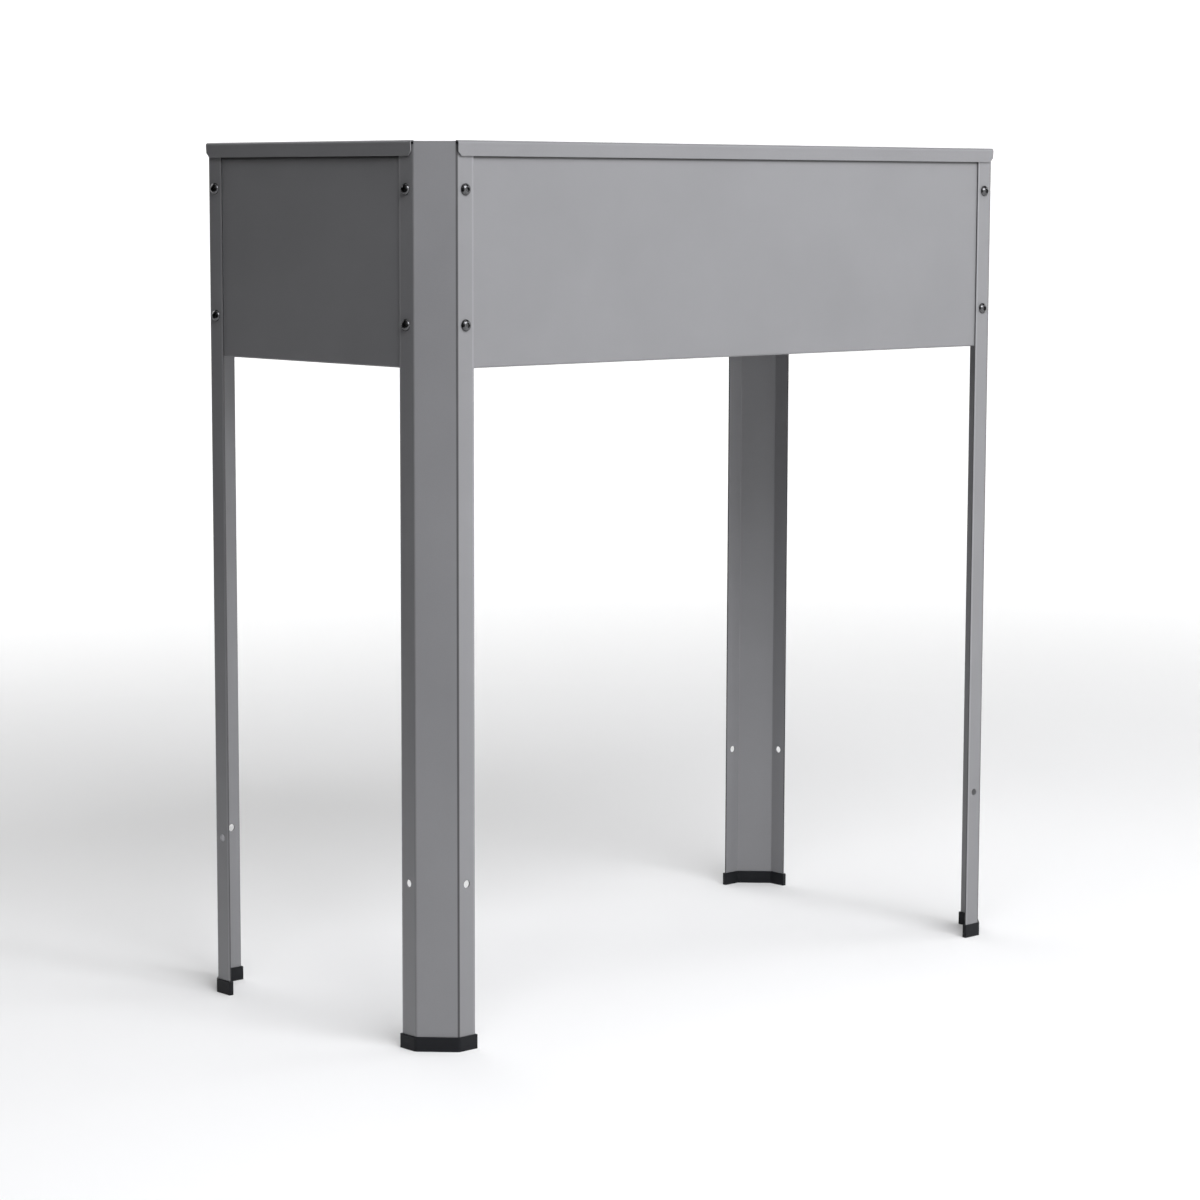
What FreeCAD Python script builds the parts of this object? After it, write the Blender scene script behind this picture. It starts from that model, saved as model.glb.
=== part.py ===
import FreeCAD, Part
import math
import os

# Raised planter on legs: a sheet steel box carried high between four bent corner legs.
# Millimetres. Origin on the floor under the middle of the planter, +X along its long
# side, +Y to the back, +Z up. The front is -Y and the left end is -X.

# Overall sizes, over the outer faces of the legs.
LENGTH = 750.0
WIDTH = 350.0
HEIGHT = 800.0

# Corner legs: one strip of sheet each, with a diagonal centre face and two flanges that
# lie outside the side panels.
LEG_SHEET = 1.5
LEG_CORNER = 27.0
LEG_FLANGE = 19.0
LEG_BEND = 1.8
LEG_EDGE = 0.6
LEG_TOP_GAP = 0.8

# Side panels: thin sheet, folded inwards at the bottom and outwards over at the top.
PANEL_SHEET = 0.8
PANEL_DEPTH = 196.0
PANEL_END_GAP = 1.5
BOTTOM_RETURN = 15.0
RETURN_CORNER = 5.0
BEND = 1.0

# Rim lip: the top fold, which rolls over the legs' flanges and hangs a little inwards.
LIP_HEIGHT = 13.5
LIP_PROUD = 3.0
LIP_SLOT_GAP = 1.4
LIP_CORNER = 4.0
LIP_PAST_FOLD = 0.3
LIP_END_GAP = 0.3
LIP_TUCK_GAP = 1.0
LIP_EDGE = 0.3

# Fixings: button head screws with flange nuts, and one spare hole low on each flange.
SCREW_DIA = 6.0
SCREW_LENGTH = 12.0
SCREW_HOLE_GAP = 0.6
HEAD_DIA = 10.5
HEAD_HEIGHT = 3.3
HEAD_RIM = 0.5
HEAD_FLAT_DIA = 5.2
HEAD_CROWN_OUT = 0.76
HEAD_CROWN_UP = 0.62
SOCKET_FLATS = 4.0
SOCKET_DEPTH = 2.0
TIP_CHAMFER = 0.6
UPPER_SCREW_DROP = 42.0
LOWER_SCREW_RISE = 37.5
NUT_FLATS = 10.0
NUT_HEIGHT = 6.0
NUT_CHAMFER = 0.6
NUT_FLANGE_DIA = 14.2
NUT_FLANGE_HEIGHT = 1.2
THREAD_GAP = 0.05
SPARE_HOLE_DIA = 7.0
SPARE_HOLE_HEIGHT = 150.0

# Foot caps: plastic channels pushed on from below.
CAP_HEIGHT = 13.0
CAP_WALL = 1.4
CAP_FLOOR = 2.5
CAP_GAP = 0.1
CAP_SOFTENING = 0.5

# Base: a sheet with turned-down edges that stand on the bottom returns.
BASE_SHEET = 0.8
BASE_EDGE = 12.0
BASE_GAP = 1.0
BASE_CORNER_GAP = 1.5
DRAIN_DIA = 8.0
DRAIN_COLUMNS = 3
DRAIN_ROW_SHARE = 0.5

# Cross brace: a hat channel under the middle of the base.
BRACE_SHEET = 1.0
BRACE_WEB = 40.0
BRACE_FOOT = 12.0
BRACE_BEND = 1.0
BRACE_END_GAP = 2.0

# How far each cutting shape reaches past the sheet, and what counts as the same place.
CUT_CLEAR = 1.0
SAME_PLACE = 1e-6

# Places that follow from the sizes above.
BOX_BOTTOM = HEIGHT - PANEL_DEPTH
RETURN_TOP = BOX_BOTTOM + PANEL_SHEET
BASE_TOP = RETURN_TOP + BASE_EDGE
UPPER_SCREW = HEIGHT - UPPER_SCREW_DROP
LOWER_SCREW = BOX_BOTTOM + LOWER_SCREW_RISE
LEG_BOTTOM = CAP_FLOOR
SCREW_HOLE_DIA = SCREW_DIA + SCREW_HOLE_GAP

ORIGIN = FreeCAD.Vector(0, 0, 0)
X = FreeCAD.Vector(1, 0, 0)
Y = FreeCAD.Vector(0, 1, 0)
Z = FreeCAD.Vector(0, 0, 1)

CORNERS = {
    "front_left": (-1, -1),
    "front_right": (1, -1),
    "back_left": (-1, 1),
    "back_right": (1, 1),
}


def left_of(a, b):
    """Unit vector to the left of the run from a to b, both in the drawing plane."""
    run = (b - a).normalize()
    return FreeCAD.Vector(-run.y, run.x, 0)


def bent_line(points, radii, shift):
    """Edges of a line through the points, bent to the radii and then moved to its left.

    Where the move uses up the whole bend radius, the two runs meet in a sharp corner.
    """
    moves = [left_of(a, b) * shift for a, b in zip(points, points[1:])]
    start = points[0] + moves[0]
    edges = []
    for index in range(1, len(points) - 1):
        here = points[index]
        run_in = (here - points[index - 1]).normalize()
        run_out = (points[index + 1] - here).normalize()
        turn = math.atan2(run_in.cross(run_out).z, run_in.dot(run_out))
        side = math.copysign(1, turn)
        bend = max(radii[index - 1] - side * shift, 0)
        corner = here + (moves[index - 1] - run_in * (side * shift * math.tan(abs(turn) / 2)))
        reach = bend * math.tan(abs(turn) / 2)
        first = corner - run_in * reach
        last = corner + run_out * reach
        if start.distanceToPoint(first) > SAME_PLACE:
            edges.append(Part.LineSegment(start, first).toShape())
        if bend > 0:
            centre = first + left_of(points[index - 1], here) * (side * bend)
            middle = centre + (corner - centre).normalize() * bend
            edges.append(Part.Arc(first, middle, last).toShape())
        start = last
    finish = points[-1] + moves[-1]
    if start.distanceToPoint(finish) > SAME_PLACE:
        edges.append(Part.LineSegment(start, finish).toShape())
    return edges


def strip(points, radii, left, right, longer=0.0):
    """Face of a bent sheet seen on edge, between two lines moved left and right of the points."""
    points = [FreeCAD.Vector(x, y, 0) for x, y in points]
    points[0] = points[0] + (points[0] - points[1]).normalize() * longer
    points[-1] = points[-1] + (points[-1] - points[-2]).normalize() * longer
    first = bent_line(points, radii, left)
    second = bent_line(points, radii, -right)
    begin = left_of(points[0], points[1])
    finish = left_of(points[-2], points[-1])
    caps = [
        Part.LineSegment(points[0] + begin * left, points[0] - begin * right).toShape(),
        Part.LineSegment(points[-1] + finish * left, points[-1] - finish * right).toShape(),
    ]
    ordered = Part.sortEdges(first + second + caps)[0]
    return Part.Face(Part.Wire(ordered))


def cylinder(diameter, length, place, direction):
    return Part.makeCylinder(diameter / 2, length, place, direction)


def block(x, y, z):
    """Box between two limits on each axis."""
    size = [span[1] - span[0] for span in (x, y, z)]
    return Part.makeBox(*size, FreeCAD.Vector(x[0], y[0], z[0]))


def to_corner(shape, corner):
    """A shape made for the back right corner, reflected to another corner."""
    side_x, side_y = CORNERS[corner]
    if side_x < 0:
        shape = shape.mirror(ORIGIN, X)
    if side_y < 0:
        shape = shape.mirror(ORIGIN, Y)
    return shape


def leg_outline():
    """Outer faces of the back right leg, from the back flange's free edge round to the end flange's."""
    back_fold = LENGTH / 2 - LEG_CORNER
    end_fold = WIDTH / 2 - LEG_CORNER
    return [
        (back_fold - LEG_FLANGE, WIDTH / 2),
        (back_fold, WIDTH / 2),
        (LENGTH / 2, end_fold),
        (LENGTH / 2, end_fold - LEG_FLANGE),
    ]


def flange_spots():
    """For each flange of the back right leg: the middle of its outer face, and the way it faces."""
    inset = LEG_CORNER + LEG_FLANGE / 2
    return [
        (FreeCAD.Vector(LENGTH / 2 - inset, WIDTH / 2, 0), Y),
        (FreeCAD.Vector(LENGTH / 2, WIDTH / 2 - inset, 0), X),
    ]


def leg_radii():
    """Outer radii of the leg's two bends."""
    return [LEG_BEND + LEG_SHEET] * 2


def leg():
    """Leg of the back right corner. The flanges and bends stop short under the lips of the rim."""
    face = strip(leg_outline(), leg_radii(), 0, LEG_SHEET)
    body = face.extrude(Z * (HEIGHT - LEG_TOP_GAP - LEG_BOTTOM))
    body.translate(Z * LEG_BOTTOM)
    body = body.makeFillet(LEG_EDGE, [edge for edge in body.Edges if leg_edge_is_free(edge)])
    notch_x = LENGTH / 2 - LEG_CORNER + LIP_PAST_FOLD + LIP_END_GAP
    notch_y = WIDTH / 2 - LEG_CORNER + LIP_PAST_FOLD + LIP_END_GAP
    above = (flange_top(), HEIGHT)
    body = body.cut(block((0, notch_x), (0, WIDTH), above))
    body = body.cut(block((0, LENGTH), (0, notch_y), above))
    for spot, facing in flange_spots():
        holes = [
            (SPARE_HOLE_HEIGHT, SPARE_HOLE_DIA),
            (UPPER_SCREW, SCREW_HOLE_DIA),
            (LOWER_SCREW, SCREW_HOLE_DIA),
        ]
        for height, diameter in holes:
            start = spot + Z * height + facing * CUT_CLEAR
            body = body.cut(cylinder(diameter, LEG_SHEET + 2 * CUT_CLEAR, start, facing * -1))
    return body


def leg_edge_is_free(edge):
    """The upright edges along the two free sides of the strip."""
    if abs(edge.Vertexes[0].Z - edge.Vertexes[-1].Z) < HEIGHT / 2:
        return False
    return not past_flange_middle(edge.Vertexes[0])


def past_flange_middle(vertex):
    """Whether a point of the leg's outline lies between the middles of its two flanges."""
    inset = LEG_CORNER + LEG_FLANGE / 2
    return vertex.X > LENGTH / 2 - inset and vertex.Y > WIDTH / 2 - inset


def foot_cap():
    """Cap of the back right leg: a floor and a wall all round the end of the bent sheet."""
    grip = CAP_GAP + CAP_WALL
    face = strip(leg_outline(), leg_radii(), grip, LEG_SHEET + grip, grip)
    body = face.extrude(Z * CAP_HEIGHT)
    body = body.makeFillet(CAP_SOFTENING, [edge for edge in body.Edges if cap_edge_is_soft(edge)])
    slot = strip(leg_outline(), leg_radii(), CAP_GAP, LEG_SHEET + CAP_GAP, CAP_GAP)
    slot = slot.extrude(Z * CAP_HEIGHT)
    slot.translate(Z * CAP_FLOOR)
    return body.cut(slot)


def cap_edge_is_soft(edge):
    """The upright edges at the cap's two ends and the edges round its top."""
    heights = [vertex.Z for vertex in edge.Vertexes]
    upright = max(heights) - min(heights) > CAP_HEIGHT / 2
    if upright:
        return not past_flange_middle(edge.Vertexes[0])
    return min(heights) > CAP_HEIGHT / 2


def lip_reach():
    """Middle of the sheet from the wall's middle, at the rim's crown and at the lip's lower edge."""
    crown = LEG_SHEET + LIP_PROUD
    return crown, LEG_SHEET + LIP_SLOT_GAP + PANEL_SHEET


def roll_radius():
    """Radius of the rim's roll, which just fills the way from the wall out to the lip."""
    crown, edge = lip_reach()
    lean = math.atan2(crown - edge, LIP_HEIGHT - PANEL_SHEET / 2)
    return crown / (1 + math.tan((math.pi / 2 + lean) / 2))


def flange_top():
    """Height at which the legs' flanges stop, tucked inside the roll."""
    return HEIGHT - PANEL_SHEET / 2 - roll_radius() - LIP_TUCK_GAP


def panel_profile(out):
    """Section of a side panel whose wall has its outer face at the given distance."""
    half = PANEL_SHEET / 2
    wall = out - half
    low = BOX_BOTTOM + half
    high = HEIGHT - half
    crown, edge = lip_reach()
    points = [
        (out - BOTTOM_RETURN, low),
        (wall, low),
        (wall, high),
        (wall + crown, high),
        (wall + edge, HEIGHT - LIP_HEIGHT),
    ]
    return strip(points, [BEND + half, roll_radius(), roll_radius()], half, half)


def panel(side, across):
    """Panel along X at the back, for a side of this length on a planter this far across."""
    out = across / 2 - LEG_SHEET
    fold = side / 2 - LEG_CORNER
    lip_end = fold + LIP_PAST_FOLD
    wall_end = fold - PANEL_END_GAP
    body = panel_profile(out).extrude(Z * (2 * lip_end))
    body.rotate(ORIGIN, FreeCAD.Vector(1, 1, 1), 120)
    body.translate(X * -lip_end)
    body = body.makeFillet(LIP_EDGE, [edge for edge in body.Edges if lip_edge_is_free(edge, out)])
    for end in (-1, 1):
        body = body.cut(lip_corner(out, lip_end, end))
        beyond = sorted((end * wall_end, end * side))
        body = body.cut(block(beyond, (0, out + LEG_SHEET / 2), (0, flange_top())))
        body = body.cut(return_corner(out, wall_end, end))
        for height in (UPPER_SCREW, LOWER_SCREW):
            start = FreeCAD.Vector(end * (fold - LEG_FLANGE / 2), out + CUT_CLEAR, height)
            body = body.cut(cylinder(SCREW_HOLE_DIA, PANEL_SHEET + 2 * CUT_CLEAR, start, Y * -1))
    return body


def lip_edge_is_free(edge, out):
    """The two long edges along the lip's lower side."""
    ends = [edge.Vertexes[0], edge.Vertexes[-1]]
    lengthwise = abs(ends[0].X - ends[1].X) > PANEL_DEPTH
    outside = ends[0].Y > out + LEG_SHEET
    return lengthwise and outside and ends[0].Z < HEIGHT - LIP_HEIGHT + PANEL_SHEET


def lip_corner(out, reach, end):
    """The lower outer corner cut off each end of the lip."""
    low = HEIGHT - LIP_HEIGHT - PANEL_SHEET
    cut = LIP_CORNER + PANEL_SHEET
    points = [
        FreeCAD.Vector(end * (reach - cut), out + LEG_SHEET / 2, low),
        FreeCAD.Vector(end * (reach + cut), out + LEG_SHEET / 2, low),
        FreeCAD.Vector(end * (reach + cut), out + LEG_SHEET / 2, low + 2 * cut),
    ]
    face = Part.Face(Part.makePolygon(points + points[:1]))
    return face.extrude(Y * (LEG_SHEET + 2 * LIP_PROUD))


def return_corner(out, reach, end):
    """The inner corner cut off each end of the bottom return."""
    inner = out - BOTTOM_RETURN
    beyond = end * (reach + CUT_CLEAR)
    low = BOX_BOTTOM - CUT_CLEAR
    points = [
        FreeCAD.Vector(end * (reach - RETURN_CORNER), inner, low),
        FreeCAD.Vector(end * reach, inner + RETURN_CORNER, low),
        FreeCAD.Vector(beyond, inner + RETURN_CORNER, low),
        FreeCAD.Vector(beyond, inner - CUT_CLEAR, low),
        FreeCAD.Vector(end * (reach - RETURN_CORNER), inner - CUT_CLEAR, low),
    ]
    face = Part.Face(Part.makePolygon(points + points[:1]))
    return face.extrude(Z * (PANEL_SHEET + 2 * CUT_CLEAR))


def end_panel():
    """The same panel made to the short side and turned to the right-hand end."""
    body = panel(WIDTH, LENGTH)
    body.rotate(ORIGIN, Z, -90)
    return body


def base_octagon(inset, low, high):
    """Prism that fits inside the panels and legs, made smaller all round by the inset."""
    inside = LEG_SHEET + PANEL_SHEET + BASE_GAP + inset
    half_x = LENGTH / 2 - inside
    half_y = WIDTH / 2 - inside
    diagonal = LENGTH / 2 + WIDTH / 2 - LEG_CORNER
    diagonal = diagonal - (LEG_SHEET + BASE_CORNER_GAP + inset) * math.sqrt(2)
    points = []
    for side_x, side_y in ((1, 1), (-1, 1), (-1, -1), (1, -1)):
        pair = [
            FreeCAD.Vector(side_x * half_x, side_y * (diagonal - half_x), low),
            FreeCAD.Vector(side_x * (diagonal - half_y), side_y * half_y, low),
        ]
        points += pair if side_x * side_y > 0 else pair[::-1]
    face = Part.Face(Part.makePolygon(points + points[:1]))
    return face.extrude(Z * (high - low))


def top_long_edges(body, height):
    """The top edges of the octagon's four main sides."""
    edges = []
    for edge in body.Edges:
        a, b = edge.Vertexes[0].Point, edge.Vertexes[1].Point
        at_top = min(a.z, b.z) > height - SAME_PLACE
        square = min(abs(a.x - b.x), abs(a.y - b.y)) < SAME_PLACE
        if at_top and square:
            edges.append(edge)
    return edges


def base_panel():
    """Base sheet: flat, with drain holes and four turned-down edges, open at the cut corners."""
    outer = base_octagon(0, RETURN_TOP, BASE_TOP)
    outer = outer.makeFillet(BEND + BASE_SHEET, top_long_edges(outer, BASE_TOP))
    inner_top = BASE_TOP - BASE_SHEET
    inner = base_octagon(BASE_SHEET, RETURN_TOP - BASE_EDGE, inner_top)
    inner = inner.makeFillet(BEND, top_long_edges(inner, inner_top))
    body = outer.cut(inner)
    relief = BEND + 3 * BASE_SHEET
    for corner in CORNERS:
        body = body.cut(to_corner(corner_relief(relief), corner))
    for place in drain_places():
        start = FreeCAD.Vector(place[0], place[1], BASE_TOP + CUT_CLEAR)
        body = body.cut(cylinder(DRAIN_DIA, BASE_SHEET + 2 * CUT_CLEAR, start, Z * -1))
    return body


def corner_relief(depth):
    """Notch that parts the turned-down edges at the back right corner."""
    diagonal = LENGTH / 2 + WIDTH / 2 - LEG_CORNER - (LEG_SHEET + BASE_CORNER_GAP) * math.sqrt(2)
    inner = diagonal - depth * math.sqrt(2)
    low = RETURN_TOP - CUT_CLEAR
    points = [
        FreeCAD.Vector(LENGTH / 2, inner - LENGTH / 2, low),
        FreeCAD.Vector(LENGTH / 2, WIDTH / 2, low),
        FreeCAD.Vector(inner - WIDTH / 2, WIDTH / 2, low),
    ]
    face = Part.Face(Part.makePolygon(points + points[:1]))
    return face.extrude(Z * (BASE_EDGE - BASE_SHEET - BEND + CUT_CLEAR))


def drain_places():
    """Two rows of drain holes, in columns spread over the base on both sides of the brace."""
    row = DRAIN_ROW_SHARE * WIDTH / 2
    pitch = LENGTH / 2 / (DRAIN_COLUMNS + 1)
    places = []
    for column in range(1, DRAIN_COLUMNS + 1):
        for side_x in (-1, 1):
            for side_y in (-1, 1):
                places.append((side_x * column * pitch, side_y * row))
    return places


def cross_brace():
    """Hat channel from front to back, standing on the bottom returns with its web under the base."""
    half = BRACE_SHEET / 2
    low = RETURN_TOP + half
    high = BASE_TOP - BASE_SHEET - half
    side = BRACE_WEB / 2 - half
    foot = BRACE_WEB / 2 + BRACE_FOOT
    points = [(-foot, low), (-side, low), (-side, high), (side, high), (side, low), (foot, low)]
    face = strip(points, [BRACE_BEND + half] * 4, half, half)
    reach = WIDTH / 2 - LEG_SHEET - PANEL_SHEET - BASE_GAP - BASE_SHEET - BRACE_END_GAP
    body = face.extrude(Z * (2 * reach))
    body.rotate(ORIGIN, X, 90)
    body.translate(Y * reach)
    return body


def hexagon(flats, height, place):
    """Upright hexagonal prism of this size across flats."""
    radius = flats / math.sqrt(3)
    points = []
    for step in range(7):
        angle = math.radians(60 * step)
        points.append(place + FreeCAD.Vector(radius * math.cos(angle), radius * math.sin(angle), 0))
    return Part.Face(Part.makePolygon(points)).extrude(Z * height)


def screw():
    """Button head screw pointing down, with the underside of its head at the origin."""
    rim = FreeCAD.Vector(HEAD_DIA / 2, 0, HEAD_RIM)
    flat = FreeCAD.Vector(HEAD_FLAT_DIA / 2, 0, HEAD_HEIGHT)
    rise = HEAD_HEIGHT - HEAD_RIM
    run = (HEAD_DIA - HEAD_FLAT_DIA) / 2
    crown = FreeCAD.Vector(
        HEAD_FLAT_DIA / 2 + HEAD_CROWN_OUT * run,
        0,
        HEAD_RIM + HEAD_CROWN_UP * rise,
    )
    edges = [
        Part.LineSegment(ORIGIN, FreeCAD.Vector(HEAD_DIA / 2, 0, 0)).toShape(),
        Part.LineSegment(FreeCAD.Vector(HEAD_DIA / 2, 0, 0), rim).toShape(),
        Part.Arc(rim, crown, flat).toShape(),
        Part.LineSegment(flat, FreeCAD.Vector(0, 0, HEAD_HEIGHT)).toShape(),
        Part.LineSegment(FreeCAD.Vector(0, 0, HEAD_HEIGHT), ORIGIN).toShape(),
    ]
    head = Part.Face(Part.Wire(edges)).revolve(ORIGIN, Z, 360)
    shank = cylinder(SCREW_DIA - 2 * THREAD_GAP, SCREW_LENGTH, Z * -SCREW_LENGTH, Z)
    tip = [edge for edge in shank.Edges if edge.CenterOfMass.z < SAME_PLACE - SCREW_LENGTH]
    shank = shank.makeChamfer(TIP_CHAMFER, tip)
    socket = hexagon(SOCKET_FLATS, SOCKET_DEPTH + CUT_CLEAR, Z * (HEAD_HEIGHT - SOCKET_DEPTH))
    return head.fuse(shank).cut(socket).removeSplitter()


def nut():
    """Hexagonal flange nut below the origin, with its seating face at the origin."""
    body = hexagon(NUT_FLATS, NUT_HEIGHT, Z * -NUT_HEIGHT)
    shell = cylinder(NUT_FLATS * 2 / math.sqrt(3), NUT_HEIGHT, Z * -NUT_HEIGHT, Z)
    corner = [edge for edge in shell.Edges if edge.CenterOfMass.z < SAME_PLACE - NUT_HEIGHT]
    shell = shell.makeChamfer(NUT_CHAMFER, corner)
    body = body.common(shell)
    flange = cylinder(NUT_FLANGE_DIA, NUT_FLANGE_HEIGHT, Z * -NUT_FLANGE_HEIGHT, Z)
    rim = [edge for edge in flange.Edges if edge.CenterOfMass.z < SAME_PLACE - NUT_FLANGE_HEIGHT]
    flange = flange.makeFillet(NUT_FLANGE_HEIGHT / 2, [edge for edge in rim if edge.Closed])
    bore_start = Z * -(NUT_HEIGHT + CUT_CLEAR)
    bore = cylinder(SCREW_DIA, NUT_HEIGHT + 2 * CUT_CLEAR, bore_start, Z)
    return body.fuse(flange).cut(bore).removeSplitter()


def at_screw_places(shape, depth):
    """Four copies of a shape for one corner, each facing out of its flange at this depth."""
    copies = []
    for spot, facing in flange_spots():
        for height in (UPPER_SCREW, LOWER_SCREW):
            copy = shape.copy()
            copy.Placement = FreeCAD.Placement(
                spot + Z * height - facing * depth,
                FreeCAD.Rotation(Z, facing),
            )
            copies.append(copy)
    return copies


def save(name, shape):
    shape.exportStep("parts/" + name + ".step")


os.makedirs("parts", exist_ok=True)

long_panel = panel(LENGTH, WIDTH)
save("back_panel", long_panel)
save("front_panel", long_panel.mirror(ORIGIN, Y))
short_panel = end_panel()
save("right_panel", short_panel)
save("left_panel", short_panel.mirror(ORIGIN, X))
save("base_panel", base_panel())
save("cross_brace", cross_brace())

corner_leg = leg()
corner_cap = foot_cap()
corner_screws = at_screw_places(screw(), 0)
corner_nuts = at_screw_places(nut(), LEG_SHEET + PANEL_SHEET)
for corner in CORNERS:
    save("leg_" + corner, to_corner(corner_leg, corner))
    save("foot_cap_" + corner, to_corner(corner_cap, corner))
    save("bolts_" + corner, Part.makeCompound([to_corner(one, corner) for one in corner_screws]))
    save("nuts_" + corner, Part.makeCompound([to_corner(one, corner) for one in corner_nuts]))
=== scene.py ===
import bpy
import math
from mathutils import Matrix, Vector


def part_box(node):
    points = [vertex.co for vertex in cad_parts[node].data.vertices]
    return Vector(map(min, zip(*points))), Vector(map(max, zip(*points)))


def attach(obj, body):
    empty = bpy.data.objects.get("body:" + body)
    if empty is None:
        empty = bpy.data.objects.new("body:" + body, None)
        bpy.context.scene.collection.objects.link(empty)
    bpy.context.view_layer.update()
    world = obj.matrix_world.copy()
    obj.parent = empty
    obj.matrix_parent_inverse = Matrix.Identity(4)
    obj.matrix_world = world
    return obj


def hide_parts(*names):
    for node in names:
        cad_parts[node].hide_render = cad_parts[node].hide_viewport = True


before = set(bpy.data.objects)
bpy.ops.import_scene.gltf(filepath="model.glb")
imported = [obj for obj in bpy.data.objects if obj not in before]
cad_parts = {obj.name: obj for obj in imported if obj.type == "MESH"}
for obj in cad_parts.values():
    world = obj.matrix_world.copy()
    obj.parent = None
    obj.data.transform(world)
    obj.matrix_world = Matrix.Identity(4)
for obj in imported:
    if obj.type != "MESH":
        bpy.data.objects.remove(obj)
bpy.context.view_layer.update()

bpy.ops.object.select_all(action="DESELECT")


# ---------------------------------------------------------------------------
# Camera: a long lens at table height, off the planter's front left corner,
# tipped down a little so that the rim is seen almost edge on.
# ---------------------------------------------------------------------------
bpy.ops.object.camera_add(
    location=(-2.1894, -2.3619, 0.7573),
    rotation=(0.0, 0.0, 0.0),
)
camera = bpy.context.object
camera.name = "camera"
camera.data.lens = 99.18
camera.data.sensor_width = 36.0
camera.data.clip_end = 60.0
camera.rotation_mode = "XYZ"
camera.rotation_euler = (math.radians(82.941), math.radians(0.0), math.radians(-42.577))
camera.rotation_euler.rotate_axis("Z", math.radians(0.166))
bpy.context.scene.camera = camera


# ---------------------------------------------------------------------------
# Studio: one sweep of pale paper, flat under the planter and curved up into a
# wall all round, so that no edge of it shows from any side. It glows a little
# more further out, where the lamps hardly reach.
# ---------------------------------------------------------------------------
def new_finish(name):
    """A new material, its node tree and its shader."""
    finish = bpy.data.materials.new(name)
    finish.use_nodes = True
    return finish, finish.node_tree, finish.node_tree.nodes["Principled BSDF"]


def remap(tree, value, source, target, smooth=False):
    """Takes a value from one span to another and holds it at both ends."""
    node = tree.nodes.new("ShaderNodeMapRange")
    if smooth:
        node.interpolation_type = "SMOOTHSTEP"
    for name, end in zip(("From Min", "From Max", "To Min", "To Max"), (*source, *target)):
        node.inputs[name].default_value = end
    tree.links.new(value, node.inputs["Value"])
    return node.outputs["Result"]


def paper_sweep():
    floor_radius, curve_radius, wall_height, turns = 5.5, 3.0, 4.0, 10
    bpy.ops.mesh.primitive_circle_add(
        vertices=96, radius=floor_radius, fill_type="NGON", location=(0, 0, 0)
    )
    paper = bpy.context.object
    paper.name = "paper_sweep"
    bpy.ops.object.mode_set(mode="EDIT")
    bpy.ops.mesh.select_mode(type="EDGE")
    bpy.ops.mesh.select_all(action="SELECT")
    bpy.ops.mesh.region_to_loop()
    for step in range(1, turns + 1):
        angle = math.pi / 2 * step / turns
        before = math.pi / 2 * (step - 1) / turns
        reach = floor_radius + curve_radius * math.sin(angle)
        grow = reach / (floor_radius + curve_radius * math.sin(before))
        rise = curve_radius * (math.cos(before) - math.cos(angle))
        bpy.ops.mesh.extrude_edges_move(TRANSFORM_OT_translate={"value": (0, 0, rise)})
        bpy.ops.transform.resize(value=(grow, grow, 1.0), center_override=(0, 0, 0))
    bpy.ops.mesh.extrude_edges_move(TRANSFORM_OT_translate={"value": (0, 0, wall_height)})
    bpy.ops.mesh.select_all(action="SELECT")
    bpy.ops.mesh.normals_make_consistent(inside=True)
    bpy.ops.object.mode_set(mode="OBJECT")
    bpy.ops.object.shade_smooth()

    finish, tree, shader = new_finish("pale_paper")
    shader.inputs["Base Color"].default_value = (0.86, 0.86, 0.86, 1.0)
    shader.inputs["Roughness"].default_value = 0.9
    shader.inputs["Specular IOR Level"].default_value = 0.0
    shader.inputs["Emission Color"].default_value = (1.0, 1.0, 1.0, 1.0)
    place = tree.nodes.new("ShaderNodeTexCoord")
    away = tree.nodes.new("ShaderNodeVectorMath")
    away.operation = "LENGTH"
    tree.links.new(place.outputs["Object"], away.inputs[0])
    glow = remap(tree, away.outputs["Value"], (1.2, 4.2), (0.08, 0.56), smooth=True)
    tree.links.new(glow, shader.inputs["Emission Strength"])
    paper.data.materials.append(finish)
    return paper


def dark_card(name, place, turn, size):
    """A black card that keeps light and reflections off one side, itself out of shot."""
    bpy.ops.mesh.primitive_plane_add(size=1.0, location=place, rotation=(math.pi / 2, 0.0, turn))
    card = bpy.context.object
    card.name = name
    bpy.ops.transform.resize(value=(size[0], size[0], size[1]))
    finish, tree, shader = new_finish(name)
    shader.inputs["Base Color"].default_value = (0.004, 0.004, 0.004, 1.0)
    shader.inputs["Specular IOR Level"].default_value = 0.0
    card.data.materials.append(finish)
    card.visible_camera = False
    card.visible_shadow = False
    return card


def softbox(name, place, size, power, tint=(1.0, 1.0, 1.0)):
    """A rectangular lamp turned towards the middle of the planter."""
    bpy.ops.object.light_add(type="AREA", location=place)
    lamp = bpy.context.object
    lamp.name = name
    lamp.data.shape = "RECTANGLE"
    lamp.data.size, lamp.data.size_y = size
    lamp.data.energy = power
    lamp.data.color = tint
    aim = (0.0, 0.0, 0.5)
    across = [aim[i] - place[i] for i in range(3)]
    flat = math.hypot(across[0], across[1])
    lamp.rotation_euler = (
        math.atan2(flat, -across[2]),
        0.0,
        math.atan2(across[1], across[0]) - math.pi / 2,
    )


paper_sweep()
dark_card("left_card", (-1.1, 0.6, 1.1), math.pi / 2, (5.0, 2.2))

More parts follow.
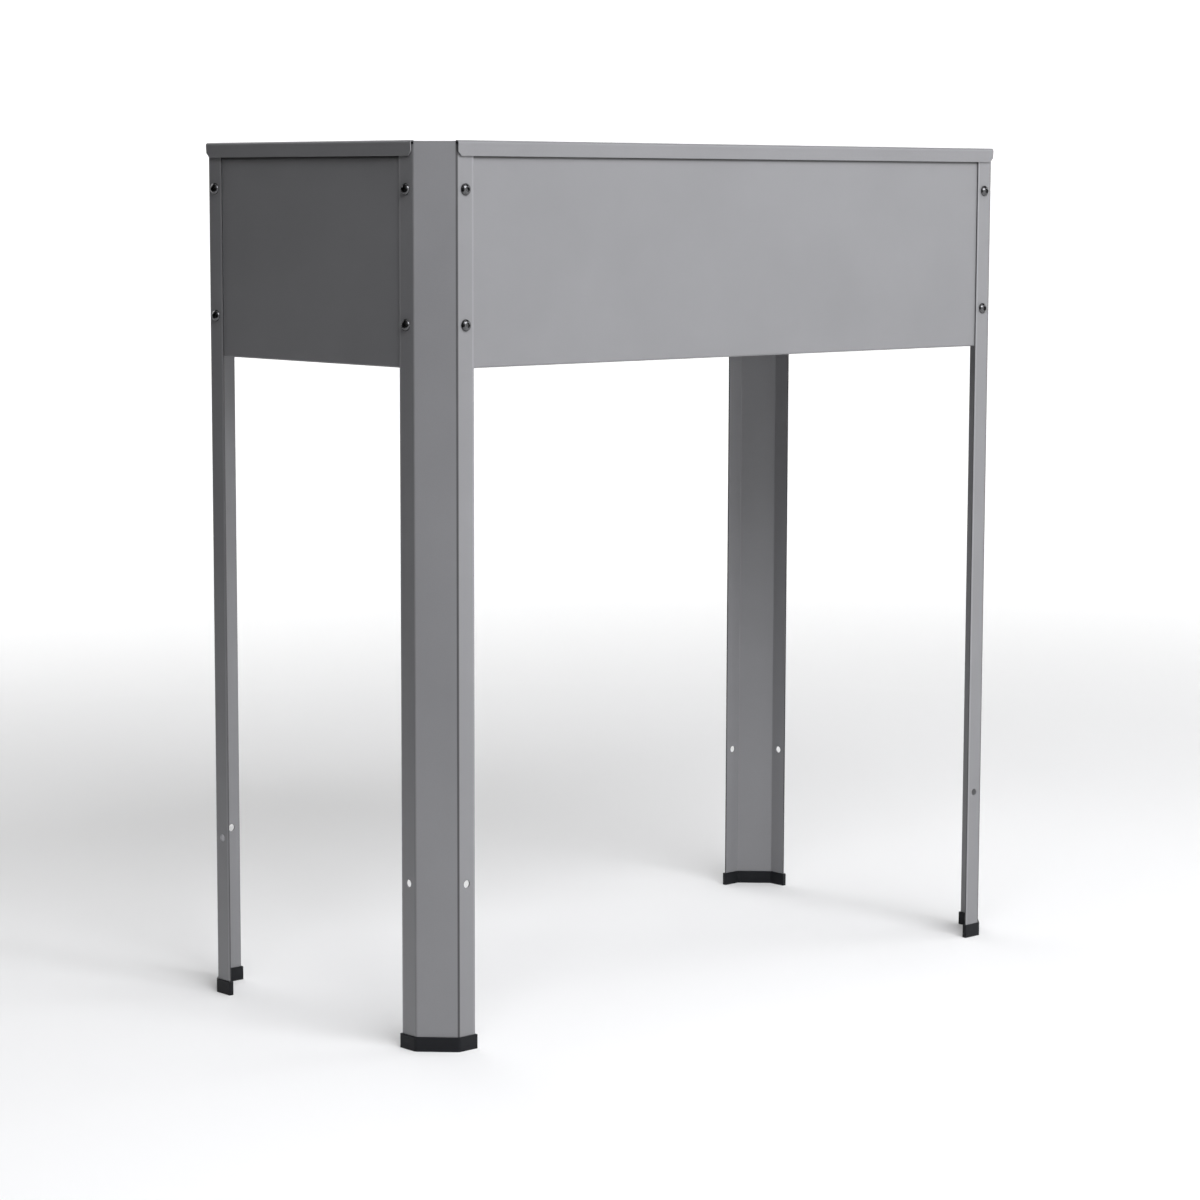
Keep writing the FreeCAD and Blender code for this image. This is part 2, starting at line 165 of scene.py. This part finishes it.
cool = (0.965, 0.972, 1.0)
softbox("key_box", (-0.48, -2.2, 2.4), (2.2, 1.4), 70.0, cool)
softbox("near_box", (-1.9, -1.9, 2.6), (1.4, 1.2), 23.0)
softbox("right_box", (3.2, -1.6, 1.5), (1.6, 1.6), 15.0, cool)
softbox("top_box", (0.0, 0.001, 3.2), (2.0, 2.0), 14.0)
softbox("back_box", (0.6, 2.8, 1.8), (2.0, 1.6), 12.0)

world = bpy.data.worlds.new("studio")
world.use_nodes = True
world.node_tree.nodes["Background"].inputs["Color"].default_value = (1.0, 1.0, 1.0, 1.0)
world.node_tree.nodes["Background"].inputs["Strength"].default_value = 0.05
bpy.context.scene.world = world
bpy.context.scene.view_settings.view_transform = "Standard"


# ---------------------------------------------------------------------------
# Side panels: thin steel sheet, folded inwards at the foot and rolled out and
# down at the rim, then powder coated all over in a semi-gloss mid grey.
# ---------------------------------------------------------------------------
def noise(tree, scale, detail):
    """Noise that lies in the piece's own coordinates."""
    place = tree.nodes.new("ShaderNodeTexCoord")
    node = tree.nodes.new("ShaderNodeTexNoise")
    node.inputs["Scale"].default_value = scale
    node.inputs["Detail"].default_value = detail
    tree.links.new(place.outputs["Object"], node.inputs["Vector"])
    return node.outputs["Fac"]


def bump(tree, height, strength, distance):
    node = tree.nodes.new("ShaderNodeBump")
    node.inputs["Strength"].default_value = strength
    node.inputs["Distance"].default_value = distance
    tree.links.new(height, node.inputs["Height"])
    return node


def toned(tree, colour, factor):
    """A colour made lighter or darker by a factor."""
    node = tree.nodes.new("ShaderNodeVectorMath")
    node.operation = "SCALE"
    tree.links.new(factor, node.inputs["Scale"])
    if isinstance(colour, tuple):
        node.inputs[0].default_value = colour
    else:
        tree.links.new(colour, node.inputs[0])
    return node.outputs["Vector"]


def powder_coat(name):
    """Baked powder coat: a fine orange peel, faint clouds of tone and a soft gloss."""
    finish, tree, shader = new_finish(name)
    shader.inputs["Specular IOR Level"].default_value = 0.5
    shader.inputs["IOR"].default_value = 1.5

    clouds = noise(tree, 9.0, 3.0)
    specks = noise(tree, 1400.0, 2.0)
    both = tree.nodes.new("ShaderNodeMath")
    both.operation = "MULTIPLY"
    tree.links.new(remap(tree, clouds, (0.3, 0.7), (0.965, 1.035)), both.inputs[0])
    tree.links.new(remap(tree, specks, (0.25, 0.75), (0.965, 1.035)), both.inputs[1])
    colour = toned(tree, (0.20, 0.20, 0.208), both.outputs["Value"])
    tree.links.new(colour, shader.inputs["Base Color"])
    tree.links.new(remap(tree, clouds, (0.3, 0.7), (0.33, 0.41)), shader.inputs["Roughness"])

    orange_peel = bump(tree, noise(tree, 420.0, 1.5), 0.16, 0.0002)
    sheet_waves = bump(tree, noise(tree, 5.0, 0.0), 0.3, 0.002)
    tree.links.new(orange_peel.outputs["Normal"], sheet_waves.inputs["Normal"])
    tree.links.new(sheet_waves.outputs["Normal"], shader.inputs["Normal"])
    return finish


def give(node, finish):
    """Puts one finish in every material slot of a carried-over piece."""
    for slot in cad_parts[node].material_slots:
        slot.material = finish


def one_quarter(tree):
    """The piece's own coordinates without their signs, so that all four corners are alike."""
    place = tree.nodes.new("ShaderNodeTexCoord")
    folded = tree.nodes.new("ShaderNodeVectorMath")
    folded.operation = "ABSOLUTE"
    tree.links.new(place.outputs["Object"], folded.inputs[0])
    return folded.outputs["Vector"]


def paint_lip_shadow(finish, share):
    """Darkens the panel's face in the slot behind the rim's lip and close under it, as a painted
    shadow of the lip. The inside of the box and the rim's top stay clear."""
    tree = finish.node_tree
    shader = tree.nodes["Principled BSDF"]
    coat = shader.inputs["Base Color"].links[0].from_socket
    leg_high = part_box("leg_back_right")[1]
    lip_height = 0.0135
    lip_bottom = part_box("back_panel")[1][2] - lip_height
    slot_in = 0.0007
    beyond = tree.nodes.new("ShaderNodeVectorMath")
    beyond.operation = "SUBTRACT"
    beyond.inputs[1].default_value = (leg_high[0] - slot_in, leg_high[1] - slot_in, lip_bottom)
    tree.links.new(one_quarter(tree), beyond.inputs[0])
    parts = tree.nodes.new("ShaderNodeSeparateXYZ")
    tree.links.new(beyond.outputs["Vector"], parts.inputs["Vector"])
    proud = tree.nodes.new("ShaderNodeMath")
    proud.operation = "MAXIMUM"
    tree.links.new(parts.outputs["X"], proud.inputs[0])
    tree.links.new(parts.outputs["Y"], proud.inputs[1])
    aside = tree.nodes.new("ShaderNodeMath")
    aside.operation = "ABSOLUTE"
    tree.links.new(proud.outputs["Value"], aside.inputs[0])

    in_slot = remap(tree, aside.outputs["Value"], (0.0012, 0.0015), (share, 1.0))
    from_below = remap(tree, parts.outputs["Z"], (-0.0028, -0.0006), (1.0, share), smooth=True)
    tree.links.new(in_slot, from_below.node.inputs["To Max"])
    slot_top = (lip_height - 0.0020, lip_height - 0.0010)
    to_top = remap(tree, parts.outputs["Z"], slot_top, (share, 1.0))
    tree.links.new(from_below, to_top.node.inputs["To Min"])
    tree.links.new(toned(tree, coat, to_top), shader.inputs["Base Color"])


panel_coat = powder_coat("panel_powder_coat")
# Painted shadow of the rim's lip on the panel's face behind and under it.
paint_lip_shadow(panel_coat, 0.2)
for node in ("front_panel", "back_panel", "left_panel", "right_panel"):
    give(node, panel_coat)


# ---------------------------------------------------------------------------
# Legs: each one strip of thicker sheet with two bends, punched for the screws
# and for a lower shelf. The coat carries painted shade as fine dark lines over the
# bends and the cut edges, and a painted highlight as a pale strip beside the free edges.
# ---------------------------------------------------------------------------
def paint_light_and_shade_lines(finish, lines):
    """Paints highlight or shade along upright lines by lightening or darkening the coat.

    Each line is (x, y, near, far, share): the coat is changed by the share as
    far as near from the line, and is its own again at far.
    """
    tree = finish.node_tree
    shader = tree.nodes["Principled BSDF"]
    coat = shader.inputs["Base Color"].links[0].from_socket
    flat = tree.nodes.new("ShaderNodeVectorMath")
    flat.operation = "MULTIPLY"
    flat.inputs[1].default_value = (1.0, 1.0, 0.0)
    tree.links.new(one_quarter(tree), flat.inputs[0])
    for x, y, near, far, share in lines:
        away = tree.nodes.new("ShaderNodeVectorMath")
        away.operation = "DISTANCE"
        away.inputs[1].default_value = (x, y, 0.0)
        tree.links.new(flat.outputs["Vector"], away.inputs[0])
        line = remap(tree, away.outputs["Value"], (near, far), (share, 1.0), smooth=True)
        coat = toned(tree, coat, line)
    tree.links.new(coat, shader.inputs["Base Color"])


leg_coat = powder_coat("leg_powder_coat")
leg_low, leg_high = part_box("leg_back_right")
bend_in = 0.027
outwards = 0.0025
along, across = outwards * math.sin(math.pi / 8), outwards * math.cos(math.pi / 8)
beside_edge = 0.0014
edge_out, edge_in = 0.0002, 0.0010
# Painted shade as dark lines over the two bends, one much darker than the other, and along the cut
# edges; painted highlight as a pale strip beside each free edge.
bend_shade, edge_highlight, cut_edge_shade = (0.0028, 0.0034), (0.0006, 0.0011), (0.0007, 0.0010)
paint_light_and_shade_lines(
    leg_coat,
    (
        (leg_high[0] - bend_in + along, leg_high[1] + across, *bend_shade, 0.2),
        (leg_high[0] + across, leg_high[1] - bend_in + along, *bend_shade, 0.8),
        (leg_low[0] + beside_edge, leg_high[1], *edge_highlight, 1.2),
        (leg_high[0], leg_low[1] + beside_edge, *edge_highlight, 1.2),
        (leg_low[0] - edge_out, leg_high[1] - edge_in, *cut_edge_shade, 0.2),
        (leg_high[0] - edge_in, leg_low[1] - edge_out, *cut_edge_shade, 0.2),
    ),
)
for node in ("leg_front_left", "leg_front_right", "leg_back_left", "leg_back_right"):
    give(node, leg_coat)


# ---------------------------------------------------------------------------
# Base and brace: the box's hidden floor, a drained sheet that lies on the
# panels' bottom returns, and the hat channel bent from one strip that carries
# its middle. Both are coated like the panels.
# ---------------------------------------------------------------------------
for node in ("base_panel", "cross_brace"):
    give(node, panel_coat)


# ---------------------------------------------------------------------------
# Foot caps: channels moulded in black plastic with a fine grain, each pushed
# on to a leg's end and held there by its own grip.
# ---------------------------------------------------------------------------
def moulded_black(name):
    finish, tree, shader = new_finish(name)
    grain = noise(tree, 1100.0, 2.0)
    colour = tree.nodes.new("ShaderNodeMapRange")
    colour.data_type = "FLOAT_VECTOR"
    colour.inputs[9].default_value = (0.004, 0.0045, 0.006)
    colour.inputs[10].default_value = (0.009, 0.0095, 0.012)
    tree.links.new(grain.node.outputs["Color"], colour.inputs[6])
    tree.links.new(colour.outputs[1], shader.inputs["Base Color"])
    shader.inputs["Roughness"].default_value = 0.5
    shader.inputs["Specular IOR Level"].default_value = 0.2
    relief = bump(tree, grain, 0.3, 0.0001)
    tree.links.new(relief.outputs["Normal"], shader.inputs["Normal"])
    return finish


cap_black = moulded_black("cap_plastic")
for corner in ("front_left", "front_right", "back_left", "back_right"):
    give("foot_cap_" + corner, cap_black)


# ---------------------------------------------------------------------------
# Screws: M6 button heads with a hexagon socket, rolled thread and dark plating,
# driven through each leg flange and the panel behind it. All are one screw,
# worked in millimetres and then brought to size, each turned its own way.
# ---------------------------------------------------------------------------
def plated_steel(name, dark, light, rough):
    """Plated steel: faint drifts of tone and fine scuffs in the gloss."""
    finish, tree, shader = new_finish(name)
    shader.inputs["Metallic"].default_value = 1.0
    tone = tree.nodes.new("ShaderNodeValToRGB")
    tone.color_ramp.elements[0].position = 0.35
    tone.color_ramp.elements[0].color = (*dark, 1.0)
    tone.color_ramp.elements[1].position = 0.65
    tone.color_ramp.elements[1].color = (*light, 1.0)
    tree.links.new(noise(tree, 260.0, 2.0), tone.inputs["Fac"])
    tree.links.new(tone.outputs["Color"], shader.inputs["Base Color"])
    scuffs = remap(tree, noise(tree, 2400.0, 2.0), (0.3, 0.7), (rough - 0.03, rough + 0.04))
    tree.links.new(scuffs, shader.inputs["Roughness"])
    return finish


def carve(piece, tool, operation):
    """Cuts, joins or keeps the shared part of two solids, and clears the second away."""
    bpy.ops.object.select_all(action="DESELECT")
    piece.select_set(True)
    bpy.context.view_layer.objects.active = piece
    cut = piece.modifiers.new("carve", "BOOLEAN")
    cut.operation = operation
    cut.solver = "EXACT"
    cut.object = tool
    bpy.ops.object.modifier_apply(modifier=cut.name)
    bpy.data.objects.remove(tool)


def turned(name, rings, sides=48):
    """A turned solid: a disc drawn up through rings of (radius, height), closed at both ends."""
    bpy.ops.mesh.primitive_circle_add(
        vertices=sides, radius=rings[0][0], fill_type="NGON", location=(0, 0, rings[0][1])
    )
    solid = bpy.context.object
    solid.name = name
    bpy.ops.object.transform_apply(location=True)
    bpy.ops.object.mode_set(mode="EDIT")
    bpy.ops.mesh.select_mode(type="FACE")
    bpy.ops.mesh.select_all(action="SELECT")
    for (wide, low), (narrow, high) in zip(rings, rings[1:]):
        bpy.ops.mesh.extrude_region_move(TRANSFORM_OT_translate={"value": (0, 0, high - low)})
        scale = narrow / wide
        bpy.ops.transform.resize(value=(scale, scale, 1.0), center_override=(0, 0, high))
    bpy.ops.mesh.select_all(action="SELECT")
    bpy.ops.mesh.normals_make_consistent(inside=False)
    bpy.ops.object.mode_set(mode="OBJECT")
    return solid


def thread(name, root, crest, pitch, low, high):
    """A rolled thread: one sharp ridge wound round the shank from low to high."""
    bpy.ops.mesh.primitive_circle_add(
        vertices=3, radius=1.0, fill_type="NOTHING", location=(0, 0, 0)
    )
    ridge = bpy.context.object
    ridge.name = name
    corners = ((root, 0.0), (crest, pitch / 2), (root, pitch))
    for point, (radius, rise) in zip(ridge.data.vertices, corners):
        point.co = (radius, 0.0, low + rise)
    wind = ridge.modifiers.new("wind", "SCREW")
    wind.screw_offset = pitch
    wind.iterations = int((high - low) / pitch) - 1
    wind.steps = 24
    wind.render_steps = 24
    wind.use_normal_calculate = True
    bpy.ops.object.modifier_apply(modifier=wind.name)
    bpy.ops.object.mode_set(mode="EDIT")
    bpy.ops.mesh.select_mode(type="EDGE")
    bpy.ops.mesh.select_all(action="DESELECT")
    bpy.ops.mesh.select_non_manifold()
    bpy.ops.mesh.fill()
    bpy.ops.mesh.select_all(action="SELECT")
    bpy.ops.mesh.normals_make_consistent(inside=False)
    bpy.ops.object.mode_set(mode="OBJECT")
    return ridge


def join(pieces, name):
    bpy.ops.object.select_all(action="DESELECT")
    for piece in pieces:
        piece.select_set(True)
    bpy.context.view_layer.objects.active = pieces[0]
    bpy.ops.object.join()
    pieces[0].name = name
    return pieces[0]


def button_screw():
    """One screw, head upwards, with the underside of the head at height 0."""
    head = turned(
        "screw_pattern",
        (
            (4.9, 0.0), (5.2, 0.12), (5.25, 0.3), (5.22, 0.55), (5.08, 0.95),
            (4.82, 1.45), (4.45, 1.95), (3.98, 2.42), (3.45, 2.82),
            (3.05, 3.06), (2.8, 3.19), (2.62, 3.26), (2.45, 3.28),
        ),
    )
    socket_rings = ((0.05, 0.7), (2.31, 1.3), (2.31, 3.05), (2.62, 3.4), (2.62, 4.5))
    carve(head, turned("socket", socket_rings, 6), "DIFFERENCE")
    shank = turned("shank", ((2.0, -12.0), (2.5, -11.6), (2.5, 0.05)), 32)
    ridge = thread("thread", 2.46, 2.93, 1.0, -11.7, -0.2)
    return join([head, shank, ridge], "screw_pattern")


def fastened(pattern, name, corner, seat, spin):
    """Copies of a fixing on both flanges of one leg, as one piece with its place in its mesh.

    They sit on the outer sides of the seat node's box, in line with the CAD screws.
    """
    facings = {
        "front": (math.pi / 2, 0.0),
        "back": (-math.pi / 2, 0.0),
        "left": (0.0, -math.pi / 2),
        "right": (0.0, math.pi / 2),
    }
    millimetre, head_radius = 0.001, 0.00525
    low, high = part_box("bolts_" + corner)
    seat_low, seat_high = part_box(seat)
    rear, side = corner.split("_")
    seat_x = seat_low[0] if side == "left" else seat_high[0]
    seat_y = seat_low[1] if rear == "front" else seat_high[1]
    middle_x = high[0] - head_radius if side == "left" else low[0] + head_radius
    middle_y = high[1] - head_radius if rear == "front" else low[1] + head_radius
    copies = []
    for facing, place in ((rear, (middle_x, seat_y)), (side, (seat_x, middle_y))):
        for height in (low[2] + head_radius, high[2] - head_radius):
            copy = pattern.copy()
            copy.data = pattern.data.copy()
            bpy.context.collection.objects.link(copy)
            bpy.ops.object.select_all(action="DESELECT")
            copy.select_set(True)
            bpy.context.view_layer.objects.active = copy
            spin += 37.0
            copy.rotation_euler = (0.0, 0.0, math.radians(spin))
            bpy.ops.object.transform_apply(rotation=True)
            copy.scale = (millimetre, millimetre, millimetre)
            copy.rotation_euler = (facings[facing][0], facings[facing][1], 0.0)
            copy.location = (place[0], place[1], height)
            bpy.ops.object.transform_apply(location=True, rotation=True, scale=True)
            copies.append(copy)
    piece = join(copies, name)
    bpy.ops.object.shade_smooth_by_angle(angle=math.radians(32))
    return piece


screw_steel = plated_steel("dark_plated_steel", (0.10, 0.10, 0.103), (0.13, 0.13, 0.134), 0.25)
screw_pattern = button_screw()
for count, corner in enumerate(("front_left", "front_right", "back_left", "back_right")):
    screws = fastened(screw_pattern, "screws_" + corner, corner, "leg_" + corner, 151.0 * count)
    screws.data.materials.clear()
    screws.data.materials.append(screw_steel)
    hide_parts("bolts_" + corner)
    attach(screws, "root")
bpy.data.objects.remove(screw_pattern)


# ---------------------------------------------------------------------------
# Nuts: zinc plated hexagon nuts with a pressed flange, one on each screw
# inside the box. The corners are chamfered where they meet the end.
# ---------------------------------------------------------------------------
def flange_nut():
    """One nut, seating face at height 0 and body downwards, like the screw it is on."""
    nut = turned("nut_pattern", ((5.7735, -6.0), (5.7735, -0.6)), 6)
    chamfer_rings = ((4.9, -6.0), (5.35, -5.7), (5.78, -5.3), (5.9, -5.0), (5.9, -0.3))
    carve(nut, turned("chamfer", chamfer_rings, 64), "INTERSECT")
    flange_rings = (
        (5.2, -2.2), (6.5, -1.55), (6.95, -1.25), (7.1, -0.95), (7.1, -0.35), (6.95, -0.12), (6.7, 0.0),
    )
    carve(nut, turned("flange", flange_rings, 64), "UNION")
    bore_rings = ((3.6, -6.6), (3.0, -5.5), (3.0, -0.5), (3.4, 0.3))
    carve(nut, turned("bore", bore_rings, 32), "DIFFERENCE")
    return nut


nut_zinc = plated_steel("zinc_plate", (0.42, 0.42, 0.41), (0.62, 0.62, 0.60), 0.34)
nut_pattern = flange_nut()
for count, corner in enumerate(("front_left", "front_right", "back_left", "back_right")):
    nuts = fastened(nut_pattern, "flange_nuts_" + corner, corner, "nuts_" + corner, 97.0 * count)
    nuts.data.materials.clear()
    nuts.data.materials.append(nut_zinc)
    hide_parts("nuts_" + corner)
    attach(nuts, "root")
bpy.data.objects.remove(nut_pattern)
